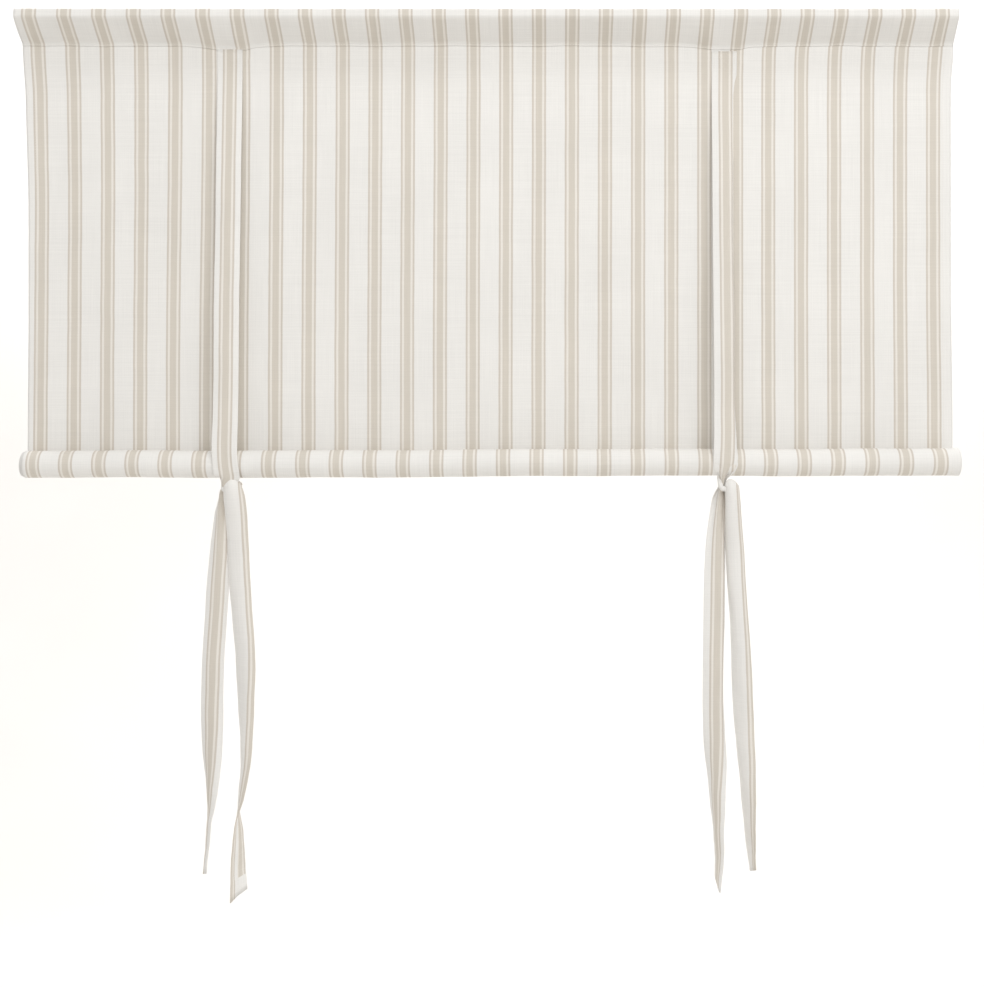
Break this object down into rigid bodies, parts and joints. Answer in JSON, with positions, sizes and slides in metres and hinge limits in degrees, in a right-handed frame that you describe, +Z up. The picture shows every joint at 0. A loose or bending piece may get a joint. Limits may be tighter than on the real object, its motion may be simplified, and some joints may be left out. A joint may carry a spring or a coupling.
{
  "type": "tie-up cloth window blind",
  "caption": "Striped cloth window blind in a flat lath channel, rolled up by hand round a hem bar and held by knotted cloth ties.",
  "frame": {"origin": "middle of the flat top of the head, where the lath is screwed up under a window reveal", "axes": "+X along the width, to the right seen from the front; the front faces -Y; +Z up"},
  "size_m": [1.2, 0.0391, 1.1386],
  "materials": {
    "striped_cloth": "plain woven cotton, cream with woven beige stripes",
    "lath_wood": "planed, unpainted",
    "bar_wood": "turned, unpainted",
    "tie_cloth": "the same striped cotton, folded and stitched"
  },
  "bodies": {
    "root": {"blind_cloth": "striped_cloth", "head_lath": "lath_wood", "hem_bar": "bar_wood", "front_tie_left": "tie_cloth", "back_tie_left": "tie_cloth", "front_tie_right": "tie_cloth", "back_tie_right": "tie_cloth"}
  },
  "joints": []
}
